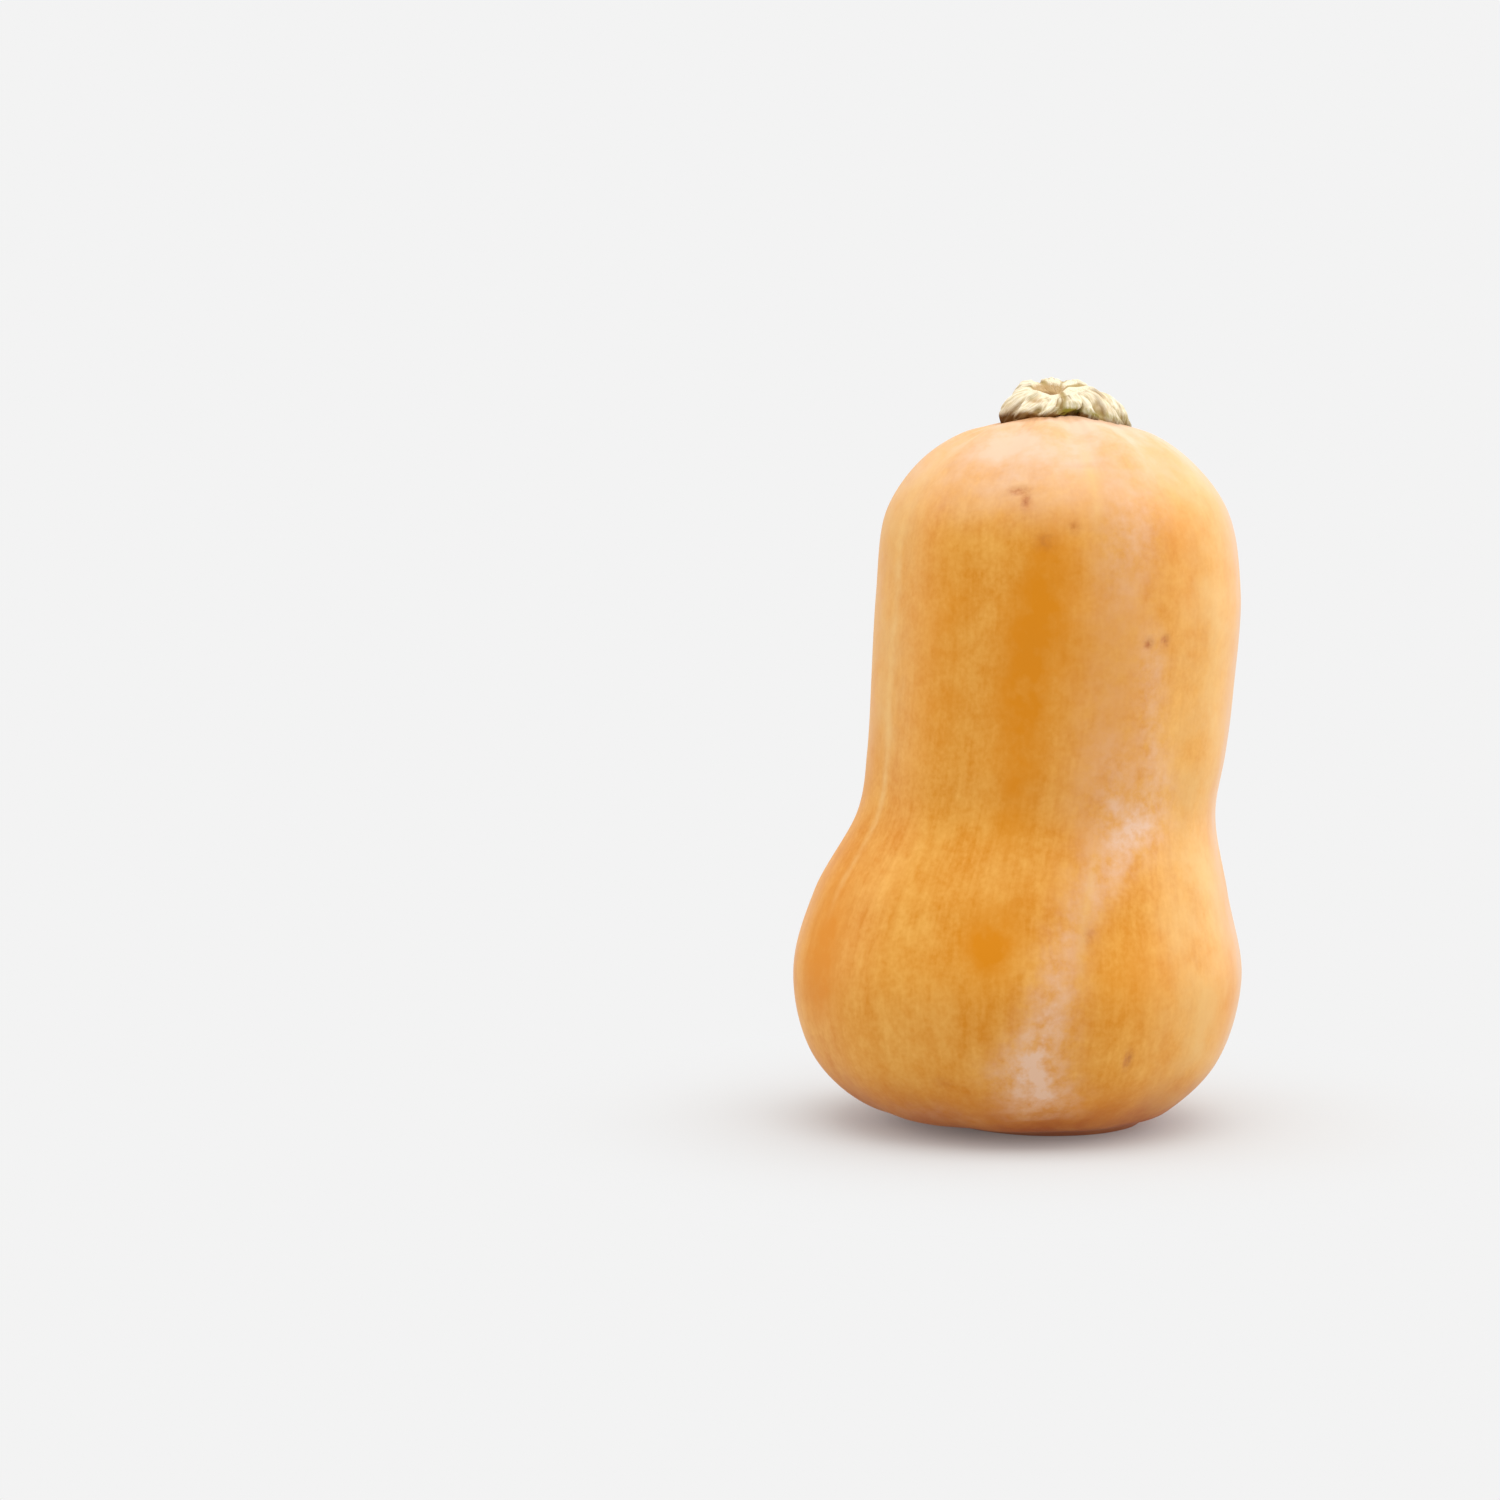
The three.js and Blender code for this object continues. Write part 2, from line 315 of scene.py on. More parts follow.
tints = {
    "goldBands": [  # height, degrees, half width, strength
        [(72, -12, 5, 0), (84, -12, 6, 0.5), (103, -13, 7.5, 0.75), (118, -11.5, 8.5, 0.95),
         (136, -9.5, 8.5, 1), (148, -6.5, 7, 0.6), (164, -4, 5, 0)],
        [(26, -66, 7, 0), (38, -65, 9, 1), (52, -65, 9, 0.85), (70, -67, 7, 0.25), (84, -68, 6, 0)],
        [(90, -44, 7, 0), (112, -42, 8, 0.3), (134, -40, 7, 0.35), (156, -40, 6, 0)],
    ],
    "goldPatches": [  # degrees, height, half size across and along, strength
        (-11, 53, 7, 9, 1),
        (-14, 44, 4, 6, 0.35),
        (24, 44, 10, 9, 0.35),
        (62, 36, 9, 12, 0.3),
        (38, 154, 7, 7, 0.35),
        (8, 13, 14, 4, 0.45),
    ],
    "bloomBands": [
        [(8, 3, 9, 0.25), (14, 2.8, 9, 0.75), (22, -0.6, 8, 1), (36, 4.2, 6, 0.6), (50, 7, 5.5, 0.38),
         (58, 10.5, 6, 0.38), (66, 16, 7, 0.45), (73, 21.5, 8, 0.6), (81, 28, 10, 0.9), (90, 21, 9, 0.4),
         (108, 14, 8, 0.08), (128, 14, 8, 0.03), (148, 18, 8, 0.32), (160, 21, 9, 0.45), (170, 23, 9, 0.2)],
        [(84, 36, 5, 0), (90, 34, 6, 0.5), (104, 28, 5, 0.35), (122, 26, 5, 0.35), (138, 24, 4, 0)],
    ],
    "bloomPatches": [
        (31, 83, 8, 9, 0.7),
        (0, 19, 8, 9, 0.5),
        (-35, 8, 18, 5, 0.15),
        (84, 84, 8, 14, 0.5),
    ],
    "blushBands": [
        [(8, 2, 9, 0), (20, 0, 9, 0.4), (40, 5, 7, 0.45), (55, 10, 7, 0.45), (75, 16, 10, 0.6),
         (90, 14, 12, 0.75), (108, 12, 10, 0.85), (128, 14, 10, 0.85), (150, 17, 11, 0.75),
         (165, 18, 11, 0.5), (178, 18, 9, 0)],
    ],
    # pale lines along ribs; the first, on the left rib, is a painted highlight
    "paleLinesAndHighlight": [
        [(52, -67, 1.8, 0), (66, -67, 1.6, 0.5), (90, -65.5, 1.6, 0.7), (113, -67, 1.7, 0.7),
         (139, -65, 1.8, 0.8), (152, -66, 1.8, 0.6), (165, -64, 2, 0)],
        [(152, 8, 1.4, 0), (160, 9, 1.4, 0.6), (172, 9, 1.6, 0.7), (178, 9, 1.6, 0)],
        [(40, 12, 1.2, 0), (52, 12, 1.2, 0.5), (66, 14, 1.2, 0.5), (78, 16, 1.2, 0)],
    ],
    "smudges": [  # as the patches
        (-8.2, 152.5, 2.6, 2.4, 0.55),
        (0.8, 155.7, 1.5, 1.5, 0.75),
        (-24, 18, 2.4, 1.5, 0.4),
        (14.5, 55, 2, 3, 0.4),
        (8, 171, 4, 0.7, 0.3),
        (-150, 40, 3, 4, 0.4),
        (120, 100, 2.4, 2.2, 0.5),
        (-95, 62, 2, 2.4, 0.4),
    ],
    # the pale flank and the pale neck edge are partly the rind's colour and partly painted rim sheen
    "paleFlankAndRimSheen": (-1.2, -0.6, 0.2, 1),  # radians from the right: it starts, is full, ebbs and ends
    # painted rim sheen on the right edge, over a duller rind tone
    "rightRimSheen": (-0.6, -0.2, 0, 0.4),
    "paleNeckEdgeAndRimSheen": {"degrees": -74, "reach": (0.12, 0.5), "height": (82, 110), "strength": 0.85},
    # paler crown: partly the rind's own colour, partly painted sheen from above; its left patch is a
    # painted highlight
    "crown": {
        "height": 150,
        "higherOnRight": 3,
        "rise": 30,
        "leftCrownHighlight": (-36, 170, 10, 8, 0.75),  # as a patch
        "yellowerOnLeft": 0.4,
    },
    # painted shade on the sole
    "sole": {"height": 22, "inDimple": 0.6, "dimpleRise": 14},
    # painted shade round the stem's foot, with some stain
    "stemSeatShade": {"radius": 16.6, "toTheRight": 2.5, "edge": (-0.5, 4.2), "onRight": 0.4},
    "groundSpot": {"across": 1.1, "halfHeight": 26},
    "blossomScar": (4, 7.5),  # half widths between which it ends
    "nickReach": 1.15,  # how much wider a nick's mark is than the nick
    "streaks": {"height": (8, 40), "neckHeight": (76, 100), "onNeck": 0.4},
    "hiddenSides": {
        "seed": 46,
        "degrees": range(108, 280, 36),
        "heights": np.linspace(14, 168, 8),
        "bands": [("goldBands", 0, 0.85), ("bloomBands", 16, 0.7), ("blushBands", 20, 0.9)],  # aside, most
        "reach": (4.5, 9),
        "patchReach": (5, 11),
        "goldPatch": ((25, 62), 0.7),  # heights, strength
        "bloomPatch": ((20, 90), 0.6),
    },
}


def tintOf(bands=(), patches=()):
    cover = np.zeros((fruit["rows"], fruit["columns"]))
    for band in bands:
        heights, degrees, reach, strength = np.array(band, float).T
        middle = np.radians(np.interp(height, heights, degrees))
        sideways = wrapped(angle - middle) * halfWidth / np.interp(height, heights, reach)
        here = np.interp(height, heights, strength, left=0, right=0) * isFlank
        cover = np.maximum(cover, here * bell(sideways))
    for *place, strength in patches:
        cover = np.maximum(cover, strength * bell(awayFrom(*place)))
    return cover


# the sides that the picture doesn't show carry the same marks, one by each rib
hidden = tints["hiddenSides"]
bandCount = len(hidden["heights"])
draw = np.random.default_rng(hidden["seed"])
for degrees in hidden["degrees"]:
    wander = np.cumsum(draw.normal(0, 4, bandCount))
    for kind, aside, most in hidden["bands"]:
        strengths = most * np.clip(draw.normal(0.45, 0.4, bandCount), 0, 1)
        strengths[[0, -1]] = 0
        reach = draw.uniform(*hidden["reach"], bandCount)
        tints[kind].append(list(zip(hidden["heights"], degrees + aside + wander, reach, strengths)))
    reaches = draw.uniform(*hidden["patchReach"], 2)
    for kind, sizes in (("gold", reaches), ("bloom", reaches[::-1])):
        heights, strength = hidden[kind + "Patch"]
        place = (degrees + draw.normal(0, 9), draw.uniform(*heights), *sizes)
        tints[kind + "Patches"].append((*place, strength))

toTheLeft = -np.sin(angle)
nickMarks = np.zeros_like(relief)
for *place, depth in fruit["nicks"]:
    nickMarks = np.maximum(nickMarks, bell(awayFrom(*place) / tints["nickReach"]))

# the right flank is a paler yellow than the left, where only the neck's edge is: partly the rind's own
# colour, partly painted rim sheen along the edges that turn away
fromRight = wrapped(angle - math.pi / 2)
neckEdge = tints["paleNeckEdgeAndRimSheen"]
fromNeckEdge = np.abs(wrapped(angle - math.radians(neckEdge["degrees"])))
neckEdgeCover = (1 - smoothstep(fromNeckEdge, *neckEdge["reach"])) * smoothstep(height, *neckEdge["height"])
paleFlankAndRimSheen = plateau(fromRight, *tints["paleFlankAndRimSheen"])
paleFlankAndRimSheen = np.maximum(paleFlankAndRimSheen, neckEdge["strength"] * neckEdgeCover)

# the crown pales towards the stem, less at the far left, and in a patch on its left: partly the rind's
# paler shoulder, partly painted sheen from above, the patch a painted highlight
crown = tints["crown"]
crownStart = crown["height"] + crown["higherOnRight"] * smoothstep(np.sin(angle + 0.1), 0, 0.6)
crownCover = smoothstep(height, crownStart, crownStart + crown["rise"])
crownCover = np.maximum(crownCover, tintOf(patches=[crown["leftCrownHighlight"]])) * isTop
crownCover = crownCover * (1 - crown["yellowerOnLeft"] * smoothstep(toTheLeft, 0.5, 0.9))

# the sole is painted a deeper orange as shade towards the floor, less so in the dimple round the blossom
# scar
sole = tints["sole"]
dimple = 1 - smoothstep(along, along[footRow] - sole["dimpleRise"], along[footRow])
soleCover = (1 - smoothstep(height, 0, sole["height"])) * (1 + (sole["inDimple"] - 1) * dimple)

# the rind is darkened round the stem's foot, most at the left: painted shade under the stem, with some
# stain
seatShade = tints["stemSeatShade"]
fromSeat = halfWidth - seatShade["radius"] - seatShade["toTheRight"] * np.sin(angle)
seatShadeAndStain = (1 - smoothstep(fromSeat, *seatShade["edge"])) * isTop
seatShadeAndStain = seatShadeAndStain * (seatShade["onRight"] + (1 - seatShade["onRight"]) * smoothstep(toTheLeft, -0.2, 0.3))

# the side that it lay on stayed pale
ground, groundSpot = fruit["groundSide"], tints["groundSpot"]
groundAcross = wrapped(angle - ground["angle"]) / ground["acrossAngle"] * groundSpot["across"]
groundUp = (height - ground["height"]) / groundSpot["halfHeight"]

streaks = tints["streaks"]
onNeck = 1 - (1 - streaks["onNeck"]) * smoothstep(height, *streaks["neckHeight"])
fruitPiece = skinOfRings("squash_fruit", intoRow(fruitSkin), {
    "grain": stackOf(np.cos(angle), np.sin(angle), along * mm),
    "gold": tintOf(tints["goldBands"], tints["goldPatches"]),
    "bloom": tintOf(tints["bloomBands"], tints["bloomPatches"]),
    "blush": tintOf(tints["blushBands"]),
    "paleFlankAndRimSheen": paleFlankAndRimSheen,
    # painted rim sheen on the right edge
    "rightRimSheen": plateau(fromRight, *tints["rightRimSheen"]),
    "paleLineAndHighlight": tintOf(tints["paleLinesAndHighlight"]),
    "crown": crownCover,
    "seatShade": seatShadeAndStain,
    "sole": soleCover,
    "blossomScar": (1 - smoothstep(halfWidth, *tints["blossomScar"])) * ~isTop,
    "groundSpot": bell(groundAcross) * bell(groundUp) * isFlank,
    "nick": nickMarks,
    "smudge": tintOf(patches=tints["smudges"]),
    "flank": smoothstep(height, *streaks["height"]) * onNeck,
})
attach(fruitPiece, "root")
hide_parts("fruit")
print("fruit:", len(fruitPiece.data.polygons), "faces, fitted by", fit.round(6))

# the stem, a squat corky stub whose ridges run out into feet on the fruit

stem = {
    "stations": [  # radius on a ridge and in a hollow, at a share of the way up
        (16.9, 13.4, 0),
        (17, 11.6, 0.16),
        (16, 9.4, 0.4),
        (13.9, 8.2, 0.68),
        (11.4, 7.4, 0.9),
        (8.4, 6.2, 1),
    ],
    "ridges": [  # degrees on the foot, twist on the way up, strength, width
        (-86, 10, 1, 24),
        (-54, 10, 0.94, 20),
        (-26, 10, 0.88, 17),
        (-21, 48, 0.9, 14),
        (22, 16, 0.8, 8),
        (56, 4, 0.9, 17),
        (92, -8, 1, 20),
        (136, 6, 0.9, 20),
        (183, 4, 0.96, 22),
        (-129, 8, 0.92, 20),
    ],
    "shift": 3.5,
    "topShift": -2.1,
    "cutHeight": 190.5,
    "tiltRight": -0.02,
    "tiltBack": 0.29,
    "cutSag": 0.35,
    "dish": {"right": -2.3, "back": 0.3, "radius": 5, "depth": 1.7},
    "notch": {"degrees": -20, "width": 26, "depth": 1.2},
    "sideHeight": 9,
    "columns": 320,
    "undersideRows": 10,
    "sideRows": 100,
    "cutRows": 44,
    "sunk": 0.15,  # how deep the rim of the foot is set into the skin
    "knobs": [(3.4, 0.3, 11), (1.5, 0.13, 12)],  # size, height, seed
    "fibres": [(23, 0.13), (37, 0.1), (58, 0.07)],  # how many round the stem, and how deep
    "fibrePatchSize": 5,
    "fibreTwist": math.radians(20),
    "fissures": {"size": 2.3, "width": 0.3, "depth": 0.3, "seed": 17},
    "fissurePatches": {"size": 4, "seed": 23},
    "cutCracks": {"count": 9, "wander": 1.1, "width": 0.16, "depth": 0.45},
    "pith": {"edge": (0.24, 0.54), "depth": 0.7},  # shares of the dish's radius between which it ends
    "barkStart": 0.8,  # how far up from the foot the bark's relief is full
    # the foot's dark line: painted contact shade over the foot's own dark cork
    "footShadeLine": {
        "top": 0.27,
        "edge": (-0.12, 0.1),
        "unevenness": 0.04,
        "palerSide": math.radians(60),
        "palerReach": (0.5, 0.9),
        "lowerThere": 0.13,
        "lighterThere": 0.45,
    },
    "stains": {  # degrees, share of the way up, half sizes in degrees and share, strength
        "olive": [
            (4, 0.38, 15, 0.28, 1.3),
            (28, 0.26, 12, 0.28, 0.75),
            (76, 0.14, 26, 0.22, 0.6),
            (50, 0.22, 14, 0.2, 0.5),
            (10, 0.72, 18, 0.12, 0.35),
            (-46, 0.93, 6, 0.06, 0.35),
            (150, 0.3, 20, 0.3, 0.8),
            (-150, 0.25, 24, 0.25, 0.6),
        ],
        # brown low on the stem: partly the cork's colour, partly painted shade towards the foot
        "brownAndFootShade": [
            (-88, 0.2, 28, 0.2, 0.6),
            (-42, 0.18, 22, 0.22, 0.9),
            (-6, 0.2, 16, 0.2, 1.1),
            (112, 0.25, 14, 0.3, 0.9),
            (-112, 0.35, 12, 0.3, 0.7),
            (170, 0.15, 30, 0.2, 0.7),
        ],
        "tan": [
            (70, 0.85, 20, 0.13, 0.5),
            (-72, 0.5, 14, 0.2, 0.25),
            (50, 0.55, 8, 0.16, 0.3),
            (-38, 0.88, 10, 0.08, 0.9),
            (200, 0.65, 18, 0.25, 0.6),
            (-135, 0.7, 14, 0.2, 0.5),
        ],
    },
}


def closeness(angle, degrees, width):
    away = (np.degrees(angle) - degrees + 180) % 360 - 180
    return bell(away / width)


def ridgeAt(angle, share):
    crests = [
        strength * closeness(angle, foot + twist * share, width)
        for foot, twist, strength, width in stem["ridges"]
    ]
    return np.max(crests, axis=0)


def fruitTop(x, y):
    # height of the fruit's skin near the stem, at a point seen from above
    right = x - seatMiddle[1]
    front = (seatY - y) / fruit["depthShare"]
    radius = np.hypot(right, front)
    top = outline[outline[:, 2] > fruit["shoulderHeight"]][::-1]
    level = np.interp(radius, top[:, 0], top[:, 2])
    return level + fruitRelief(np.arctan2(right, front), radius, level)


seatMiddle = fruit["outline"][-1]
seatY = leanAt(seatMiddle[2])
turn = np.linspace(0, fullTurn, stem["columns"], endpoint=False)[None, :]
tall = np.array([1, 1, stem["sideHeight"]])
side, sideAlong = evenRows(smoothLine(stem["stations"]) * tall, stem["sideRows"])
side = side / tall

# every row of the skin, from the middle of the underside, up the side and in over the cut
undersideShare = np.linspace(0, 0.97, stem["undersideRows"])
inward = np.linspace(1, 0, stem["cutRows"] + 1)[1:]
stemRows = np.vstack([
    side[:1].repeat(stem["undersideRows"], axis=0),
    side,
    side[-1:].repeat(stem["cutRows"], axis=0),
])
ridgeRadius, hollowRadius, risen = (column[:, None] for column in stemRows.T)
risen = np.clip(risen, 0, 1)
reachShare = np.concatenate([undersideShare, np.ones(stem["sideRows"]), inward])[:, None]
cutShare = np.concatenate([np.zeros(len(undersideShare) + stem["sideRows"]), 1 - inward])[:, None]
pastSide = np.full(stem["cutRows"], sideAlong[-1])
fromFoot = np.concatenate([0 * undersideShare, sideAlong, pastSide])[:, None]

ridge = ridgeAt(turn, risen)
radius = (hollowRadius + (ridgeRadius - hollowRadius) * ridge) * reachShare
x = stem["shift"] + stem["topShift"] * risen + radius * np.sin(turn)
y = seatY - radius * np.cos(turn)
top = stem["cutHeight"] + stem["tiltRight"] * (x - stem["shift"]) + stem["tiltBack"] * (y - seatY)
dish, notch = stem["dish"], stem["notch"]
dishX = stem["shift"] + stem["topShift"] + dish["right"]
fromDish = np.hypot(x - dishX, y - seatY - dish["back"]) / dish["radius"]
isCut = smoothstep(cutShare, 0, 0.12)
inDish = (1 - smoothstep(fromDish, 0.5, 1.05)) * isCut
sag = stem["cutSag"] * (1 - ridge)
sag = sag + notch["depth"] * closeness(turn, notch["degrees"], notch["width"])
top = top - dish["depth"] * inDish - sag * risen * (1 - cutShare)
skinHeight = fruitTop(x, y) - stem["sunk"]
stemPoints = np.stack([x, y, skinHeight + (top - skinHeight) * risen], axis=-1)

# bark: knobs, and fibres that follow the ridges
isSide = 1 - smoothstep(cutShare, 0.03, 0.15)
twisted = turn - stem["fibreTwist"] * risen
barkRelief = sum(knobHeight * lumps(stemPoints, size, seed) for size, knobHeight, seed in stem["knobs"])
for count, depth in stem["fibres"]:
    strength = 0.6 + 0.4 * lumps(stemPoints, stem["fibrePatchSize"], seed=count)
    barkRelief = barkRelief + depth * strength * np.cos(count * twisted + count**2) * isSide

# the long fissures of dried cork, the cracks that run in over the cut, and the pith's hollow
fissures, patches = stem["fissures"], stem["fissurePatches"]
strands = stackOf(14 * np.cos(twisted), 14 * np.sin(twisted), 2.2 * risen)
fissure = bell(lumps(strands, fissures["size"], fissures["seed"]) / fissures["width"]) * isSide
fissure = fissure * smoothstep(lumps(stemPoints, patches["size"], patches["seed"]), -0.6, 0.5)
cracks = stem["cutCracks"]
crackWave = np.cos(cracks["count"] / 2 * turn + cracks["wander"] * np.sin(3 * turn + 1))
spoke = bell(crackWave / cracks["width"])
spoke = spoke * smoothstep(cutShare, 0.15, 0.4) * smoothstep(1 - cutShare, 0.05, 0.3) * inDish
pith = (1 - smoothstep(fromDish, *stem["pith"]["edge"])) * isCut
barkRelief = barkRelief - fissures["depth"] * fissure - cracks["depth"] * spoke
barkRelief = barkRelief - stem["pith"]["depth"] * pith
barkRelief = barkRelief * smoothstep(fromFoot, 0, stem["barkStart"]) * (0.5 + 0.5 * isSide)
stemSkin = stemPoints + normalsOf(stemPoints) * barkRelief[..., None]
stemSkin[-1] = stemSkin[-2].mean(axis=0)


def stainOf(places):
    # where the bark is stained
    covers = [
        strength * closeness(turn, degrees, width) * bell((risen - share) / tallness)
        for degrees, share, width, tallness, strength in places
    ]
    return np.max(covers, axis=0) * isSide


# the foot's dark line, painted contact shade over the foot's own dark cork, is lower and lighter on the
# right
line = stem["footShadeLine"]
paler = 1 - smoothstep(np.abs(wrapped(turn - line["palerSide"])), *line["palerReach"])
footTop = line["top"] - line["lowerThere"] * paler + line["unevenness"] * lumps(stemPoints, 3, seed=31)
footShadeLine = (1 - smoothstep(risen - footTop, *line["edge"])) * (1 - line["lighterThere"] * paler)

# its highest point is set on the solid's
solidTop = growthLow[2] + (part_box("stem")[1][2] - low[2]) / fit[2]
above = stemSkin[..., 2] - seatMiddle[2]
stretch = (solidTop - seatMiddle[2]) / above.max()
stemSkin[..., 2] = seatMiddle[2] + above * np.where(above > 0, stretch, 1)

stemPiece = skinOfRings("corky_stem", intoRow(stemSkin), {
    "fibre": stackOf(reachShare * np.cos(twisted), reachShare * np.sin(twisted), 0.15 * risen),
    "ridge": ridge,
    "dish": inDish,
    "pith": pith,
    "fissure": np.maximum(fissure, spoke),
    "crest": barkRelief,
    # painted contact shade over the foot's dark cork
    "foot": footShadeLine,
    **{name: stainOf(places) for name, places in stem["stains"].items()},
})
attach(stemPiece, "root")
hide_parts("stem")
print("stem:", len(stemPiece.data.polygons), "faces")


# materials

def colour(hexCode):
    # an sRGB hex colour as linear red, green, blue and alpha
    parts = [int(hexCode[i:i + 2], 16) / 255 for i in (1, 3, 5)]
    linear = [c / 12.92 if c <= 0.04045 else ((c + 0.055) / 1.055) ** 2.4 for c in parts]
    return (*linear, 1)


def setInputs(material, node, inputs):
    # an input is either a value or another node's output
    for name, value in inputs.items():
        if isinstance(value, bpy.types.NodeSocket):
            material.node_tree.links.new(value, node.inputs[name])
        else:
            node.inputs[name].default_value = value


def addNode(material, kind, settings={}, inputs={}):
    node = material.node_tree.nodes.new("ShaderNode" + kind)
    for name, value in settings.items():
        setattr(node, name, value)
    setInputs(material, node, inputs)
    return node


def attributeOf(material, name, output="Fac"):
    return addNode(material, "Attribute", {"attribute_name": name}).outputs[output]


def noiseOf(material, at, scale, detail, roughness=0.5):
    values = {"Vector": at, "Scale": scale, "Detail": detail, "Roughness": roughness}
    return addNode(material, "TexNoise", {}, values).outputs["Fac"]


def mapped(material, value, source=(0, 1), target=(0, 1), interpolation="LINEAR"):
    # the value moved from one range into another and kept inside it
    return addNode(material, "MapRange", {"interpolation_type": interpolation}, {
        "Value": value,
        "From Min": source[0],
        "From Max": source[1],
        "To Min": target[0],
        "To Max": target[1],
    }).outputs[0]


def computed(material, operation, *values, clamp=False):
    settings = {"operation": operation, "use_clamp": clamp}
    return addNode(material, "Math", settings, dict(enumerate(values))).outputs[0]


def laidOver(material, under, over, cover):
    inputs = {"Factor": cover, 6: under, 7: over}
    return addNode(material, "Mix", {"data_type": "RGBA"}, inputs).outputs[2]


def newMaterial(name):
    material = bpy.data.materials.new(name)
    material.use_nodes = True
    return material, material.node_tree.nodes["Principled BSDF"]


# The rind of a ripe butternut: a hard skin under a thin natural wax, grown rather than made. The
# wax gives a broad satin sheen; the skin is tan gold with long streaks that follow the ribs.

rind, rindShader = newMaterial("waxyButternutRind")
rindLook = {
    "deep": "#db8914",
    "pale": "#eeae50",
    "unevenness": [  # noise scale, how drawn out it is along the ribs, strength
        (9, 2.2, 0.14),  # streaks 6 mm wide and 50 mm long
        (19, 2.6, 0.13),  # 3 mm by 20 mm
        (46, 3, 0.1),  # 1.3 mm by 7 mm
        (75, 0, 0.2),  # blotches 13 mm across
        (260, 0, 0.17),  # 4 mm
        (850, 0, 0.15),  # 1.2 mm
    ],
    "leastStreaky": 0.5,  # the share of the streaks that is left by the foot
    "tints": [  # vertex tint, colour, size of its ragged edge, how ragged, strength
        # partly the rind's paler colour, partly painted rim sheen at the edges
        ("paleFlankAndRimSheen", "#eabc76", 80, 0.5, 0.55),
        # painted rim sheen on the right edge, over a duller rind tone
        ("rightRimSheen", "#dfb38c", 70, 0.5, 0.75),
        ("blush", "#e6a25a", 150, 0.45, 0.7),
        # painted shade on the sole
        ("sole", "#ba600e", 90, 0.25, 0.92),
        ("groundSpot", "#e8c587", 80, 0.6, 0.8),
        ("gold", "#e08a04", 190, 0.3, 1.15),
        ("bloom", "#ecc2a2", 230, 0.68, 0.82),
        # partly the crown's paler colour, partly painted sheen and highlight
        ("crown", "#e8c4a4", 90, 0.4, 0.85),
        # pale lines along ribs, the one on the left rib a painted highlight
        ("paleLineAndHighlight", "#efc27a", 300, 0.4, 0.6),
        # painted shade round the stem's foot, with some stain
        ("seatShade", "#a8703c", 400, 0.3, 0.9),
        ("smudge", "#c0702a", 500, 0.5, 0.8),
        ("nick", "#bb6f3e", 700, 0.4, 0.8),
        ("blossomScar", "#8b6b4c", 500, 0.4, 1),
    ],
    "roughness": (0.44, 0.54),  # of the wax, and where bloom or a nick dulls it
    "refraction": 1.45,
    "specular": 0.28,
    "peelSize": 1250,  # orange peel, pits about 0.8 mm across
    "peelDepth": 0.014 * mm,
    "streakDepth": 0.03 * mm,
}
grainAt = attributeOf(rind, "grain", "Vector")
here = addNode(rind, "TexCoord").outputs["Object"]
streakiness = mapped(rind, attributeOf(rind, "flank"), target=(rindLook["leastStreaky"], 1))
paleness, broad = 0.5, None
for scale, lengthening, strength in rindLook["unevenness"]:
    at, weight = here, 1.0
    if lengthening:
        drawnOut = {0: grainAt, 1: (1, 1, lengthening)}
        at = addNode(rind, "VectorMath", {"operation": "MULTIPLY"}, drawnOut).outputs[0]
        weight = streakiness
    noise = noiseOf(rind, at, scale, detail=3)
    broad = broad or noise
    centred = mapped(rind, noise, (0.32, 0.68), (-strength, strength))
    paleness = computed(rind, "MULTIPLY_ADD", centred, weight, paleness)
clamped = addNode(rind, "Clamp", {}, {"Value": paleness}).outputs[0]
tone = laidOver(rind, colour(rindLook["deep"]), colour(rindLook["pale"]), clamped)
covers = {}
for name, hexCode, edgeScale, raggedness, strength in rindLook["tints"]:
    edge = noiseOf(rind, here, edgeScale, detail=4, roughness=0.6)
    edgeStrength = (strength * (1 - raggedness), strength * (1 + raggedness))
    ragged = mapped(rind, edge, (0.35, 0.65), edgeStrength)
    covers[name] = computed(rind, "MULTIPLY", attributeOf(rind, name), ragged, clamp=True)
    tone = laidOver(rind, tone, colour(hexCode), covers[name])

dull = computed(rind, "MAXIMUM", covers["bloom"], covers["nick"])
peel = noiseOf(rind, here, rindLook["peelSize"], detail=2)
streakBump = addNode(rind, "Bump", {}, {"Height": broad, "Distance": rindLook["streakDepth"]}).outputs[0]
peelBump = addNode(rind, "Bump", {}, {
    "Height": peel, "Distance": rindLook["peelDepth"], "Normal": streakBump,
}).outputs[0]
setInputs(rind, rindShader, {
    "Base Color": tone,
    "Roughness": mapped(rind, dull, target=rindLook["roughness"]),
    "IOR": rindLook["refraction"],
    "Specular IOR Level": rindLook["specular"],
    "Normal": peelBump,
})
fruitPiece.data.materials.append(rind)
print("rind material:", len(rind.node_tree.nodes), "nodes")

# The stem's bark: dried, cracked cork over woody fibre, with no gloss at all. Its crests are cream, its
# hollows brown and olive, its lower part browner with painted shade towards the foot, and the cut shows tan
# pith.

